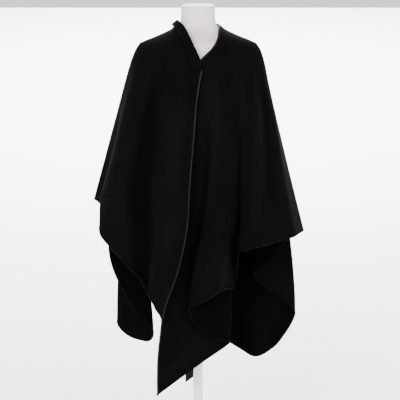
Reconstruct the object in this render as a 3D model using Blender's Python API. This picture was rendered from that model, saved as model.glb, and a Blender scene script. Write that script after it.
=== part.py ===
"""Open-fronted wool poncho, draped on a limbless dress form with its stand.

Metres, +Z up. The wearer faces -Y, so the wearer's right side is at -X. The origin is
the middle of the underside of the stand's foot.
"""
import math
from collections import namedtuple

import bmesh
import bpy
from mathutils import Vector

# Cloth and trim
WALL = 0.0024
SEAM_GAP = 0.0003
STEEPEST_TRIM = 0.2
LONGEST_TRIM = 0.6
BINDING_WIDTH = 0.006
BINDING_THICK = 0.0028
LAPEL_RAISE = 0.0004
LAPEL_WIDTH = 0.032
LAPEL_SHAPE = ((0.0, 0.75), (0.5, 0.9), (0.8, 1.0), (1.0, 0.95))
LAPEL_STAND = ((0.0, 0.012), (0.25, 0.009), (0.5, 0.003), (0.7, 0.0), (1.0, 0.0))
LAPEL_COLUMNS = 4
LABEL_THICK = 0.0008
LABEL_START = 38.85
LABEL_SPAN = 0.66
LABEL_ROWS = 3
LABEL_DROP = 0.030
LABEL_TUCK = 0.010

# Grid of a panel
SHOULDER_DROPS = (0.0, 0.002, 0.007, 0.016, 0.030, 0.050, 0.080, 0.111, 0.143)
ROWS_BELOW = 14
CUTS = 2
FOLD_START = 0.17
DEPTH_LEAD = 0.6

# The front outline was measured in the plane of the body (y = 0) from this viewpoint
EYE_DISTANCE = 4.5
EYE_HEIGHT = 2.0

# Dress form and stand
NECK_HALF = 0.0525
NECK_TOP = 1.517
CAP_THICK = 0.006
FORM_CLEAR = 0.0013
FORM_SHOULDER = ((0.156, 0.036, 0.004), (0.125, 0.040, 0.0), (0.090, 0.042, 0.0015))
FORM_SIDES = 32
FORM_BOTTOM = 0.790
FORM_STEP = 0.03
CAP_PROFILE = ((0.0, 0.985), (0.5, 0.985), (0.8, 0.93), (1.0, 0.75))
POLE_RADIUS = 0.016
FOOT_RADIUS = 0.185
FOOT_THICK = 0.014
FOOT_RIM = 0.003
ROUND_SIDES = 40

# Finishes: name, colour, roughness
FINISHES = (
    ("wool_cloth", (0.006, 0.006, 0.007), 0.95),
    ("edge_binding", (0.014, 0.013, 0.013), 0.45),
    ("label_tape", (0.06, 0.065, 0.055), 0.8),
    ("form_shell", (0.76, 0.70, 0.65), 0.6),
    ("stand_paint", (0.85, 0.85, 0.84), 0.35),
)

# Shoulder crest of the cloth: distance from the middle, height
CREST = (
    (0.060, 1.468),
    (0.075, 1.455),
    (0.087, 1.446),
    (0.125, 1.428),
    (0.160, 1.414),
    (0.180, 1.405),
)
CREST_NECK = 0.064
CREST_TIP = 0.180
NECK_START = 0.008
NECK_RISE = 0.5
NECK_SPREAD = 1.12
NECK_TRIM_SHARE = 0.7

# Fold over each arm: height, distance from the middle
RIDGE_RIGHT = (
    (0.902, 0.332),
    (1.147, 0.265),
    (1.335, 0.213),
    (1.382, 0.195),
    (1.405, 0.180),
)
RIDGE_LEFT = (
    (0.798, 0.340),
    (0.926, 0.307),
    (1.102, 0.263),
    (1.256, 0.226),
    (1.345, 0.207),
    (1.385, 0.194),
    (1.405, 0.180),
)

# Front edges: height, place across
EDGE_RIGHT = (
    (0.492, -0.118),
    (0.558, -0.101),
    (0.663, -0.064),
    (0.804, -0.034),
    (0.969, -0.023),
    (1.109, -0.011),
    (1.214, -0.003),
    (1.290, 0.008),
    (1.325, 0.014),
    (1.357, 0.008),
    (1.411, -0.017),
    (1.441, -0.034),
    (1.455, -0.044),
    (1.468, -0.062),
)
EDGE_LEFT = (
    (0.233, -0.136),
    (0.351, -0.135),
    (0.490, -0.121),
    (0.600, -0.106),
    (0.804, -0.078),
    (0.969, -0.055),
    (1.214, -0.022),
    (1.310, -0.010),
    (1.357, 0.008),
    (1.388, 0.039),
    (1.421, 0.059),
    (1.468, 0.064),
)

# How far the cloth stands out from the crest plane: drop below the crest, depth
FRONT_DEPTH = (
    (0.000, 0.000),
    (0.002, 0.018),
    (0.007, 0.034),
    (0.016, 0.051),
    (0.030, 0.069),
    (0.050, 0.086),
    (0.080, 0.104),
    (0.120, 0.121),
    (0.190, 0.139),
    (0.260, 0.147),
    (0.500, 0.151),
    (1.300, 0.165),
)
BACK_DEPTH = (
    (0.000, 0.000),
    (0.002, 0.018),
    (0.007, 0.034),
    (0.016, 0.050),
    (0.030, 0.066),
    (0.050, 0.081),
    (0.080, 0.095),
    (0.120, 0.106),
    (0.200, 0.116),
    (0.400, 0.122),
    (1.300, 0.135),
)
OVERLAP_LIFT = 0.009

# Folds of each panel, from the fold over the arm to the front edge, or right across the
# back from the wearer's left. The share is the place on the unfolded panel, and the
# rest is the hem point: across and height as seen from the front, and depth.
Fold = namedtuple("Fold", "share across height depth late", defaults=(1.0,))
FOLDS_RIGHT = (
    Fold(0.00, -0.332, 0.902, 0.000),
    Fold(0.09, -0.304, 0.906, -0.032),
    Fold(0.19, -0.288, 0.880, -0.052),
    Fold(0.30, -0.317, 0.798, -0.080, 2.5),
    Fold(0.38, -0.285, 0.744, -0.122, 1.5),
    Fold(0.46, -0.236, 0.688, -0.150),
    Fold(0.57, -0.190, 0.634, -0.150),
    Fold(0.70, -0.160, 0.578, -0.176),
    Fold(0.83, -0.138, 0.530, -0.192),
    Fold(0.92, -0.126, 0.512, -0.186),
    Fold(1.00, -0.118, 0.492, -0.172),
)
FOLDS_LEFT = (
    Fold(0.00, 0.340, 0.798, 0.000),
    Fold(0.08, 0.320, 0.786, -0.046),
    Fold(0.20, 0.287, 0.771, -0.088),
    Fold(0.40, 0.213, 0.747, -0.138),
    Fold(0.52, 0.155, 0.731, -0.156),
    Fold(0.565, 0.131, 0.725, -0.140),
    Fold(0.59, 0.126, 0.668, -0.108),
    Fold(0.615, 0.117, 0.608, -0.090),
    Fold(0.64, 0.096, 0.601, -0.116),
    Fold(0.67, 0.070, 0.592, -0.152),
    Fold(0.71, 0.035, 0.566, -0.166),
    Fold(0.75, -0.004, 0.546, -0.162),
    Fold(0.78, -0.028, 0.536, -0.149),
    Fold(0.795, -0.028, 0.516, -0.138),
    Fold(0.815, -0.008, 0.474, -0.124),
    Fold(0.835, 0.045, 0.438, -0.106),
    Fold(0.86, 0.092, 0.422, -0.086),
    Fold(0.88, 0.104, 0.418, -0.070),
    Fold(0.90, 0.084, 0.400, -0.058),
    Fold(0.93, 0.020, 0.354, -0.074),
    Fold(0.965, -0.060, 0.293, -0.102),
    Fold(1.00, -0.136, 0.233, -0.122),
)
FOLDS_BACK = (
    Fold(0.00, 0.340, 0.798, 0.000),
    Fold(0.04, 0.306, 0.786, 0.030),
    Fold(0.07, 0.272, 0.748, 0.040),
    Fold(0.10, 0.250, 0.704, 0.036),
    Fold(0.13, 0.207, 0.670, 0.032),
    Fold(0.145, 0.186, 0.656, 0.037),
    Fold(0.16, 0.185, 0.638, 0.049),
    Fold(0.18, 0.208, 0.614, 0.058),
    Fold(0.21, 0.267, 0.572, 0.060),
    Fold(0.24, 0.312, 0.528, 0.066),
    Fold(0.265, 0.312, 0.500, 0.082),
    Fold(0.29, 0.289, 0.455, 0.094),
    Fold(0.33, 0.249, 0.401, 0.100),
    Fold(0.38, 0.191, 0.369, 0.108),
    Fold(0.43, 0.135, 0.400, 0.120),
    Fold(0.48, 0.060, 0.450, 0.134),
    Fold(0.53, -0.010, 0.510, 0.122),
    Fold(0.585, -0.080, 0.548, 0.136),
    Fold(0.64, -0.150, 0.560, 0.128),
    Fold(0.68, -0.215, 0.530, 0.124),
    Fold(0.71, -0.256, 0.508, 0.114),
    Fold(0.73, -0.261, 0.476, 0.098),
    Fold(0.755, -0.225, 0.440, 0.088),
    Fold(0.78, -0.172, 0.423, 0.080),
    Fold(0.795, -0.150, 0.432, 0.073),
    Fold(0.81, -0.148, 0.458, 0.062),
    Fold(0.83, -0.168, 0.486, 0.055),
    Fold(0.85, -0.205, 0.526, 0.056),
    Fold(0.88, -0.255, 0.619, 0.066),
    Fold(0.91, -0.284, 0.700, 0.068),
    Fold(0.94, -0.290, 0.790, 0.056),
    Fold(0.97, -0.299, 0.868, 0.034),
    Fold(1.00, -0.332, 0.902, 0.000),
)

# Dress form: height, half width, half depth in front, half depth behind
FORM = (
    (0.790, 0.152, 0.070, 0.100),
    (0.805, 0.164, 0.078, 0.112),
    (0.870, 0.172, 0.086, 0.118),
    (0.950, 0.152, 0.090, 0.106),
    (1.060, 0.122, 0.088, 0.088),
    (1.150, 0.136, 0.104, 0.094),
    (1.235, 0.152, 0.122, 0.100),
    (1.300, 0.160, 0.104, 0.098),
    (1.350, 0.164, 0.080, 0.080),
    (1.380, 0.162, 0.060, 0.060),
)
NECK = (
    (1.452, 0.0640, 0.050, 0.050),
    (1.470, 0.0550, 0.049, 0.049),
    (1.490, 0.0530, 0.049, 0.049),
    (1.517, 0.0525, 0.049, 0.049),
)


def clear_scene():
    """Start from an empty scene."""
    for item in list(bpy.data.objects):
        bpy.data.objects.remove(item, do_unlink=True)


def material(name, colour, roughness):
    """Plain finish of one part."""
    finish = bpy.data.materials.new(name)
    finish.use_nodes = True
    shader = finish.node_tree.nodes["Principled BSDF"]
    shader.inputs["Base Color"].default_value = (*colour, 1.0)
    shader.inputs["Roughness"].default_value = roughness
    return finish


def smooth_value(table, key):
    """Value of a table at a key, on a smooth curve through its rows."""
    if key <= table[0][0]:
        return table[0][1]
    if key >= table[-1][0]:
        return table[-1][1]
    last = len(table) - 1
    low = max(i for i in range(last) if table[i][0] <= key)
    span = table[low + 1][0] - table[low][0]
    rise = table[low + 1][1] - table[low][1]
    slopes = []
    for i in (low, low + 1):
        before = table[max(i - 1, 0)]
        after = table[min(i + 1, last)]
        slopes.append((after[1] - before[1]) / (after[0] - before[0]) * span)
    steepest = 3.0 * abs(rise)
    slopes = [max(-steepest, min(steepest, slope)) for slope in slopes]
    t = (key - table[low][0]) / span
    start = (2 * t**3 - 3 * t**2 + 1) * table[low][1] + (t**3 - 2 * t**2 + t) * slopes[0]
    end = (3 * t**2 - 2 * t**3) * table[low + 1][1] + (t**3 - t**2) * slopes[1]
    return start + end


def through(values, place):
    """Smooth curve through evenly counted values, read at a place between them."""
    last = len(values) - 1
    low = min(int(place), last - 1)
    t = place - low
    before = values[max(low - 1, 0)]
    here = values[low]
    after = values[low + 1]
    beyond = values[min(low + 2, last)]
    pull = (after - before) * 0.5
    push = (beyond - here) * 0.5
    start = (2 * t**3 - 3 * t**2 + 1) * here + (t**3 - 2 * t**2 + t) * pull
    end = (3 * t**2 - 2 * t**3) * after + (t**3 - t**2) * push
    return start + end


def seen_from_front(across, height, depth):
    """Point at a depth that keeps its place in the outline seen from the front."""
    reach = (EYE_DISTANCE + depth) / EYE_DISTANCE
    return Vector((across * reach, depth, EYE_HEIGHT - (EYE_HEIGHT - height) * reach))


def crest_height(across):
    """Height of the cloth over the shoulder."""
    return smooth_value(CREST, abs(across))


def form_rings():
    """Rings of the dress form from the closed bottom to the top of the neck."""
    rings = list(FORM)
    for half_width, half_depth, slack in FORM_SHOULDER:
        height = crest_height(half_width) - WALL - FORM_CLEAR - slack
        rings.append((height, half_width, half_depth, half_depth))
    rings.extend(NECK)
    return rings


def form_table(column):
    """One measure of the dress form, as rows of height and value."""
    return [(row[0], row[column]) for row in form_rings()]


def form_half_depth(across, height, behind):
    """Half depth of the dress form at a point seen from the front, or 0 outside it."""
    share = abs(across) / smooth_value(form_table(1), height)
    if share >= 1.0 or height < FORM_BOTTOM:
        return 0.0
    return smooth_value(form_table(3 if behind else 2), height) * math.sqrt(1.0 - share**2)


def clear_of_form(point, behind):
    """Point moved straight out of the dress form, half a wall and a gap clear of it."""
    needed = form_half_depth(point.x, point.z, behind)
    if needed == 0.0:
        return point
    needed += WALL * 0.5 + FORM_CLEAR
    if abs(point.y) < needed:
        point = Vector((point.x, needed if behind else -needed, point.z))
    return point


class Panel:
    """A panel of cloth, as a surface over a place along its folds and a drop."""

    behind = False

    def __init__(self, folds, ridge, edge, lift):
        self.folds = folds
        self.ridge = ridge
        self.edge = edge
        self.lift = lift
        self.side = math.copysign(1.0, folds[0].across)

    def base(self, share, height, drop):
        """Unfolded cloth at a share of the panel and a height."""
        arm = smooth_value(self.ridge, CREST[-1][1] - drop) * self.side
        edge = smooth_value(self.edge, CREST[0][1] - drop)
        across = edge + (arm - edge) * math.cos(share * math.pi / 2)
        bulge = math.sqrt(max(1.0 - (across / arm) ** 2, 0.0))
        depth = -smooth_value(FRONT_DEPTH, drop) * bulge
        if share > 0.0:
            depth -= self.lift * bulge * min(drop / FOLD_START, 1.0)
        return seen_from_front(across, height, depth)

    def top(self, share):
        """Height of the crest at a share of the panel."""
        across = CREST_NECK + (CREST_TIP - CREST_NECK) * math.cos(share * math.pi / 2)
        return crest_height(across) - WALL * 0.5

    def fold(self, place):
        """Share, hem point and lateness at a place counted along the folds."""
        share = through([fold.share for fold in self.folds], place)
        across = through([fold.across for fold in self.folds], place)
        height = through([fold.height for fold in self.folds], place)
        depth = through([fold.depth for fold in self.folds], place)
        late = through([fold.late for fold in self.folds], place)
        return min(max(share, 0.0), 1.0), across, height, depth, late

    def point(self, place, row):
        """Middle of the wall at a place along the folds and a row down the panel."""
        share, across, height, depth, late = self.fold(place)
        top_height = self.top(share)
        length = top_height - height
        drop = drop_of_row(row, length)
        point = self.base(share, top_height - drop, drop)
        hem = seen_from_front(across, height, depth)
        hem -= self.base(share, height, length)
        strength = fold_strength(drop, length)
        point.x += hem.x * strength**late
        point.y += hem.y * strength**DEPTH_LEAD
        point.z += hem.z * strength
        return clear_of_form(point, self.behind)


class BackPanel(Panel):
    """The back panel, which runs from one arm fold to the other behind the neck."""

    behind = True

    def base(self, share, height, drop):
        """Unfolded cloth at a share of the panel and a height."""
        turn = math.cos(share * math.pi)
        ridge = self.ridge if turn > 0.0 else self.edge
        across = smooth_value(ridge, CREST[-1][1] - drop) * turn
        bulge = math.sin(share * math.pi)
        depth = smooth_value(BACK_DEPTH, drop) * bulge
        stand = 1.0 - smooth_value(BACK_DEPTH, drop) / BACK_DEPTH[-1][1]
        neck = max(1.0 - (CREST_TIP * turn / CREST_NECK) ** 2, 0.0)
        depth += NECK_HALF * NECK_SPREAD * math.sqrt(neck) * stand
        return seen_from_front(across, height, depth)

    def top(self, share):
        """Height of the crest or the neck edge at a share of the panel."""
        across = abs(CREST_TIP * math.cos(share * math.pi))
        return crest_height(max(across, CREST_NECK)) - WALL * 0.5


def drop_of_row(row, length):
    """Drop below the crest of a row of the grid: close rows first, then even ones."""
    close = len(SHOULDER_DROPS) - 1
    if row <= close:
        return SHOULDER_DROPS[row]
    start = SHOULDER_DROPS[close]
    return start + (length - start) * (row - close) / ROWS_BELOW


def fold_strength(drop, length):
    """How far a fold has opened at a drop: nothing at the chest, all at the hem."""
    t = max(0.0, (drop - FOLD_START) / (length - FOLD_START))
    return t * t * (3.0 - 2.0 * t)


def panel_grid(panel):
    """Points of a panel: a list of rows, from the crest down to the hem."""
    last_row = len(SHOULDER_DROPS) - 1 + ROWS_BELOW
    columns = (len(panel.folds) - 1) * CUTS
    grid = []
    for row in range(last_row + 1):
        grid.append([panel.point(column / CUTS, row) for column in range(columns + 1)])
    return grid


def surface_normals(grid):
    """Unit normals of a grid of points."""
    rows = len(grid)
    columns = len(grid[0])
    normals = []
    for r in range(rows):
        line = []
        for c in range(columns):
            along = grid[r][min(c + 1, columns - 1)] - grid[r][max(c - 1, 0)]
            down = grid[min(r + 1, rows - 1)][c] - grid[max(r - 1, 0)][c]
            line.append(along.cross(down).normalized())
        normals.append(line)
    return normals


def closed_wall(name, grid, thick, finish, normals=None, on_seam=None, seam_y=0.0):
    """Wall of even thickness about a grid of points, closed all round its edge."""
    rows = len(grid)
    columns = len(grid[0])
    normals = normals or surface_normals(grid)
    bm = bmesh.new()
    bmesh.ops.create_grid(bm, x_segments=columns - 1, y_segments=rows - 1, size=1.0)
    place = bm.verts.layers.int.new("place")
    bm.verts.ensure_lookup_table()
    for index, vert in enumerate(bm.verts):
        vert[place] = index
    bmesh.ops.extrude_face_region(bm, geom=bm.faces[:], use_keep_orig=True)
    seen = set()
    for vert in bm.verts:
        r, c = divmod(vert[place], columns)
        offset = thick * 0.5 if vert[place] in seen else thick * -0.5
        seen.add(vert[place])
        normal = normals[r][c].copy()
        seam = on_seam is not None and on_seam(r, c)
        if seam:
            normal.y = 0.0
            normal.normalize()
        vert.co = grid[r][c] + normal * offset
        if seam:
            vert.co.y = seam_y
    bmesh.ops.recalc_face_normals(bm, faces=bm.faces[:])
    if bm.calc_volume(signed=True) < 0.0:
        bmesh.ops.reverse_faces(bm, faces=bm.faces[:])
    bmesh.ops.triangulate(bm, faces=bm.faces[:], quad_method="SHORT_EDGE")
    return new_object(name, bm, finish)


def new_object(name, bm, finish):
    """Object with the mesh of bm, shaded smooth."""
    mesh = bpy.data.meshes.new(name)
    bm.to_mesh(mesh)
    bm.free()
    mesh.shade_smooth()
    mesh.set_sharp_from_angle(angle=math.radians(50))
    part = bpy.data.objects.new(name, mesh)
    part.data.materials.append(finish)
    bpy.context.scene.collection.objects.link(part)
    return part


def trim_edge(edge, inner):
    """Split a panel's free edge: its new edge, and the strip of binding beyond it."""
    last = len(edge) - 1
    cut = []
    strip = []
    for i, point in enumerate(edge):
        run = (edge[min(i + 1, last)] - edge[max(i - 1, 0)]).normalized()
        step = inner[i] - point
        slant = max(run.cross(step.normalized()).length, STEEPEST_TRIM)
        reach = min(BINDING_WIDTH / slant, step.length * LONGEST_TRIM)
        step.normalize()
        cut.append(point + step * reach * (1.0 + SEAM_GAP / BINDING_WIDTH))
        strip.append([point, point + step * reach])
    return cut, strip


def strip_normals(line):
    """Normals for a strip of two columns, shared with the wall that it edges."""
    return [[normal, normal] for normal in line]


def build_front(side, panel, cloth, binding, lapel_rows):
    """Front panel with the bindings of its hem and of its front edge."""
    grid = panel_grid(panel)
    seam_y = -SEAM_GAP * 0.5
    for row in grid:
        row[0].y = seam_y
    for point in grid[0]:
        point.y = seam_y
    first = max(lapel_rows - 1, 0)
    edge, edge_strip = trim_edge([row[-1] for row in grid], [row[-2] for row in grid])
    for r in range(first, len(grid)):
        grid[r][-1] = edge[r]
    corner = edge_strip[-1][0]
    hem, hem_strip = trim_edge(grid[-1], grid[-2])
    rise = hem[-1] - grid[-1][-1]
    hem_strip[-1] = [corner, corner + rise]
    grid[-1] = hem
    edge_strip = edge_strip[first:]
    lean = (hem_strip[-2][1] - hem_strip[-1][1]).normalized() * BINDING_WIDTH
    foot = hem_strip[-1][1] + rise.normalized() * SEAM_GAP * 2
    edge_strip[-1] = [foot, foot + lean]
    if lapel_rows:
        fall = (edge_strip[1][0] - edge_strip[0][0]).normalized()
        edge_strip[0] = [point + fall * BINDING_THICK * 0.5 for point in edge_strip[0]]
    for point in hem_strip[0]:
        point.y = seam_y
    normals = surface_normals(grid)
    closed_wall(
        f"front_{side}",
        grid,
        WALL,
        cloth,
        normals,
        on_seam=lambda r, c: r == 0 or c == 0,
        seam_y=seam_y,
    )
    closed_wall(
        f"front_{side}_hem_binding",
        hem_strip,
        BINDING_THICK,
        binding,
        strip_normals(normals[-1]),
        on_seam=lambda r, c: r == 0,
        seam_y=seam_y,
    )
    edge_normals = strip_normals([row[-1] for row in normals[first:]])
    closed_wall(
        f"front_{side}_edge_binding",
        edge_strip,
        BINDING_THICK,
        binding,
        edge_normals,
    )
    return grid


def build_back(panel, cloth, binding):
    """Back panel with the bindings of its neck edge and of its hem."""
    grid = panel_grid(panel)
    seam_y = SEAM_GAP * 0.5
    last = len(grid[0]) - 1
    neck = [c for c in range(last + 1) if grid[0][c].y > NECK_START]
    for row in grid:
        row[0].y = seam_y
        row[-1].y = seam_y
    for c in range(last + 1):
        if c not in neck:
            grid[0][c].y = seam_y
    hem, hem_strip = trim_edge(grid[-1], grid[-2])
    grid[-1] = hem
    for pair in (hem_strip[0], hem_strip[-1]):
        for point in pair:
            point.y = seam_y
    normals = surface_normals(grid)
    closed_wall(
        "back",
        grid,
        WALL,
        cloth,
        normals,
        on_seam=lambda r, c: c in (0, last) or (r == 0 and c not in neck),
        seam_y=seam_y,
    )
    closed_wall(
        "back_hem_binding",
        hem_strip,
        BINDING_THICK,
        binding,
        strip_normals(normals[-1]),
        on_seam=lambda r, c: r in (0, last),
        seam_y=seam_y,
    )
    neck_strip = []
    for c in neck:
        out = (grid[0][c] - grid[1][c]).normalized()
        out.z = NECK_RISE
        foot = grid[0][c] + out * SEAM_GAP
        neck_strip.append([foot, foot + out * BINDING_WIDTH * NECK_TRIM_SHARE])
    neck_normals = strip_normals([normals[0][c] for c in neck])
    closed_wall("back_neck_binding", neck_strip, WALL, binding, neck_normals)
    return grid


def build_lapel(grid, rows, cloth, binding):
    """Turned-back strip of the right front, lying on the panel, with its binding."""
    normals = surface_normals(grid)
    raised = WALL + LAPEL_RAISE
    strip = []
    trim = []
    for r in range(rows):
        edge = grid[r][-1]
        across = (grid[r][-2] - edge).normalized()
        width = LAPEL_WIDTH * smooth_value(LAPEL_SHAPE, r / (rows - 1))
        lift = normals[r][-1] * (raised if normals[r][-1].y < 0.0 else -raised)
        lift.z += smooth_value(LAPEL_STAND, r / (rows - 1))
        line = []
        for i in range(LAPEL_COLUMNS):
            line.append(edge + across * width * i / (LAPEL_COLUMNS - 1) + lift)
        strip.append(line)
        tip = line[-1] + across * SEAM_GAP
        trim.append([tip, tip + across * BINDING_WIDTH])
    closed_wall("front_right_lapel", strip, WALL, cloth)
    closed_wall("front_right_lapel_binding", trim, WALL, binding)


def between(line, place):
    """Point on a line of points, at a place counted along it."""
    low = int(place)
    return line[low].lerp(line[low + 1], place - low)


def build_label(grid, finish):
    """Small hanging label, sewn behind the low corner of the left front."""
    points = []
    for i in range(LABEL_ROWS + 1):
        reach = -LABEL_TUCK + (LABEL_TUCK + LABEL_DROP) * i / LABEL_ROWS
        beside = WALL if i == 0 else BINDING_THICK
        line = []
        for k in range(LABEL_ROWS + 1):
            column = LABEL_START + LABEL_SPAN * k / LABEL_ROWS
            hem = between(grid[-1], column)
            run = (hem - between(grid[-2], column)).normalized()
            along = between(grid[-1], column + LABEL_SPAN) - hem
            inner = along.cross(run).normalized()
            inner *= math.copysign(1.0, inner.y)
            point = hem + run * reach
            line.append(point + inner * ((beside + LABEL_THICK) * 0.5 + SEAM_GAP))
        points.append(line)
    closed_wall("label", points, LABEL_THICK, finish)


def ring_points(height, half_width, front, behind, sides):
    """Points of one ring of the dress form, anticlockwise from above."""
    points = []
    for i in range(sides):
        angle = 2 * math.pi * i / sides
        deep = behind if math.sin(angle) > 0.0 else front
        points.append(Vector((half_width * math.cos(angle), deep * math.sin(angle), height)))
    return points


def stacked_rings(name, rings, finish):
    """Closed body through rings of points, one above the other."""
    bm = bmesh.new()
    below = None
    for ring in rings:
        verts = [bm.verts.new(point) for point in ring]
        edges = [bm.edges.new((verts[i - 1], verts[i])) for i in range(len(verts))]
        if below is None:
            bmesh.ops.contextual_create(bm, geom=edges)
        else:
            bmesh.ops.bridge_loops(bm, edges=below + edges)
        below = edges
    bmesh.ops.contextual_create(bm, geom=below)
    bmesh.ops.recalc_face_normals(bm, faces=bm.faces[:])
    return new_object(name, bm, finish)


def smooth_form_rings():
    """Evenly spaced rings of the dress form, up to the seat of its neck cap."""
    rows = form_rings()
    rings = []
    for low, high in zip(rows, rows[1:]):
        steps = max(1, round((high[0] - low[0]) / FORM_STEP))
        for i in range(steps):
            height = low[0] + (high[0] - low[0]) * i / steps
            sizes = [smooth_value(form_table(column), height) for column in (1, 2, 3)]
            rings.append(ring_points(height, *sizes, FORM_SIDES))
    top = rows[-1]
    rings.append(ring_points(top[0], top[1], top[2], top[3], FORM_SIDES))
    return rings


def build_form(shell, metal):
    """Dress form, its neck cap, and the pole and foot of its stand."""
    stacked_rings("form_torso", smooth_form_rings(), shell)
    top = NECK[-1]
    cap = []
    for rise, share in CAP_PROFILE:
        height = top[0] + SEAM_GAP + CAP_THICK * rise
        cap.append(ring_points(height, top[1] * share, top[2] * share, top[3] * share, FORM_SIDES))
    stacked_rings("form_neck_cap", cap, shell)
    pole = []
    for height in (FOOT_THICK + SEAM_GAP, FORM_BOTTOM - SEAM_GAP):
        pole.append(ring_points(height, POLE_RADIUS, POLE_RADIUS, POLE_RADIUS, ROUND_SIDES // 2))
    stacked_rings("stand_pole", pole, metal)
    foot = []
    for height, radius in (
        (0.0, FOOT_RADIUS),
        (FOOT_THICK - FOOT_RIM, FOOT_RADIUS),
        (FOOT_THICK, FOOT_RADIUS - FOOT_RIM),
    ):
        foot.append(ring_points(height, radius, radius, radius, ROUND_SIDES))
    stacked_rings("stand_foot", foot, metal)


def main():
    """Build the poncho and the dress form that it hangs on."""
    clear_scene()
    cloth, binding, label, shell, metal = [material(*finish) for finish in FINISHES]
    right = Panel(FOLDS_RIGHT, RIDGE_RIGHT, EDGE_RIGHT, OVERLAP_LIFT)
    left = Panel(FOLDS_LEFT, RIDGE_LEFT, EDGE_LEFT, 0.0)
    back = BackPanel(FOLDS_BACK, RIDGE_LEFT, RIDGE_RIGHT, 0.0)
    right_grid = build_front("right", right, cloth, binding, len(SHOULDER_DROPS))
    build_lapel(right_grid, len(SHOULDER_DROPS), cloth, binding)
    left_grid = build_front("left", left, cloth, binding, 0)
    build_back(back, cloth, binding)
    build_label(left_grid, label)
    build_form(shell, metal)


main()
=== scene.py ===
"""Looks of the open-fronted wool poncho on its limbless dress form and stand.

Metres, +Z up, the wearer faces -Y and the wearer's right side is at -X.
"""
from __future__ import annotations

import logging
import math
from dataclasses import dataclass, field
from enum import Enum
from typing import Callable, Sequence

import bmesh
import bpy
from mathutils import Matrix, Vector

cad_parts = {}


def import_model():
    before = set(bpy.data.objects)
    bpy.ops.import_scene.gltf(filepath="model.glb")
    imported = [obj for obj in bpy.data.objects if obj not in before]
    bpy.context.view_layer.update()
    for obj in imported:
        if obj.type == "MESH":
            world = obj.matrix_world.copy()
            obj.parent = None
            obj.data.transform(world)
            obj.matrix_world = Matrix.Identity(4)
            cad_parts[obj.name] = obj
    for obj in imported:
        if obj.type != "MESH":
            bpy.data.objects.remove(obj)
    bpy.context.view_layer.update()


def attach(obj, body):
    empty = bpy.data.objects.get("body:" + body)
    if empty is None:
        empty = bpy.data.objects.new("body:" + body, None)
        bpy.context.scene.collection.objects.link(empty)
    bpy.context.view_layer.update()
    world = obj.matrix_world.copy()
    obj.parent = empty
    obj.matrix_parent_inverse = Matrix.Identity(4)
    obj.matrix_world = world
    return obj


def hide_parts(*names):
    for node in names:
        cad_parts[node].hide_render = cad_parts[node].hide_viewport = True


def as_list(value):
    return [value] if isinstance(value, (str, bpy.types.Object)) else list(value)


LOG = logging.getLogger("poncho")

Table = Sequence[tuple[float, float]]
Grid = list[list[Vector]]
Colour = tuple[float, float, float]
Frame = tuple[Vector, Vector, Vector]
Pieces = list[bpy.types.Object]


@dataclass(frozen=True)
class Fold:
    """One row of a panel's folds.

    Args:
        share: place on the unfolded panel, 0 to 1.
        across: hem point's place across, as seen from the front.
        height: hem point's height, as seen from the front.
        depth: hem point's depth.
        late: how late the fold opens sideways, above 1 is later.
    """

    share: float
    across: float
    height: float
    depth: float
    late: float = 1.0


@dataclass(frozen=True)
class Crease:
    """A soft trough or ridge that runs down a panel.

    Args:
        top: share of the panel at its upper end.
        low: share of the panel at its lower end.
        start: part of the panel's length where it begins.
        end: part of the panel's length where it dies out.
        width: half width, as a share of the panel.
        rise: height of the ridge in metres, below 0 for a trough.
    """

    top: float
    low: float
    start: float
    end: float
    width: float
    rise: float


EVEN = (1.0, 1.0, 1.0)

# Cloth
SHOULDER_DROPS = (0.0, 0.002, 0.007, 0.016, 0.030, 0.050, 0.080, 0.111, 0.143)
CLOSE_DROP = 0.03
FOLD_START = 0.17
DEPTH_LEAD = 0.6
WALL = 0.0024
SHELL_WALL = WALL * 0.9
SEAM_GAP = 0.0003
OVERLAP_LIFT = 0.009
CREST_NECK = 0.064
CREST_TIP = 0.180
NECK_HALF = 0.0525
NECK_STAND = 1.12
NECK_START = 0.008
FORM_CLEAR = 0.0013
CUT_RIGHT = (0.44, 0.93)
CUT_LEFT = (0.60, 1.20)
CUT_BACK = (1.25, 0.95)
# Crease height that gives the full painted fold shade.
FULL_FOLD_SHADE_RISE = 0.010
CHEST_HEIGHT = 1.1
EYE_DISTANCE = 4.5
EYE_HEIGHT = 2.0
FORM_SIDES = 72
FORM_STEPS = 72
FORM_LIP = 0.004
CAP_PROFILE = (
    (0.0, 0.97),
    (0.0012, 0.992),
    (0.0030, 0.985),
    (0.0048, 0.94),
    (0.0058, 0.80),
    (0.0062, 0.55),
)
FORM_SHOULDER = ((0.156, 0.036, 0.004), (0.125, 0.040, 0.0), (0.090, 0.042, 0.0015))

CREST = (
    (0.060, 1.468),
    (0.075, 1.455),
    (0.087, 1.446),
    (0.125, 1.428),
    (0.160, 1.414),
    (0.180, 1.405),
)
RIDGE_RIGHT = (
    (0.902, 0.332),
    (1.147, 0.265),
    (1.335, 0.213),
    (1.382, 0.195),
    (1.405, 0.180),
)
RIDGE_LEFT = (
    (0.798, 0.340),
    (0.926, 0.307),
    (1.102, 0.263),
    (1.256, 0.226),
    (1.345, 0.207),
    (1.385, 0.194),
    (1.405, 0.180),
)
EDGE_RIGHT = (
    (0.492, -0.118),
    (0.558, -0.101),
    (0.663, -0.064),
    (0.804, -0.034),
    (0.969, -0.023),
    (1.109, -0.011),
    (1.214, -0.003),
    (1.290, 0.008),
    (1.325, 0.014),
    (1.357, 0.008),
    (1.411, -0.017),
    (1.441, -0.034),
    (1.455, -0.044),
    (1.468, -0.062),
)
EDGE_LEFT = (
    (0.233, -0.136),
    (0.351, -0.135),
    (0.490, -0.121),
    (0.600, -0.106),
    (0.804, -0.078),
    (0.969, -0.055),
    (1.214, -0.022),
    (1.310, -0.010),
    (1.357, 0.008),
    (1.388, 0.039),
    (1.421, 0.059),
    (1.468, 0.064),
)
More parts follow.
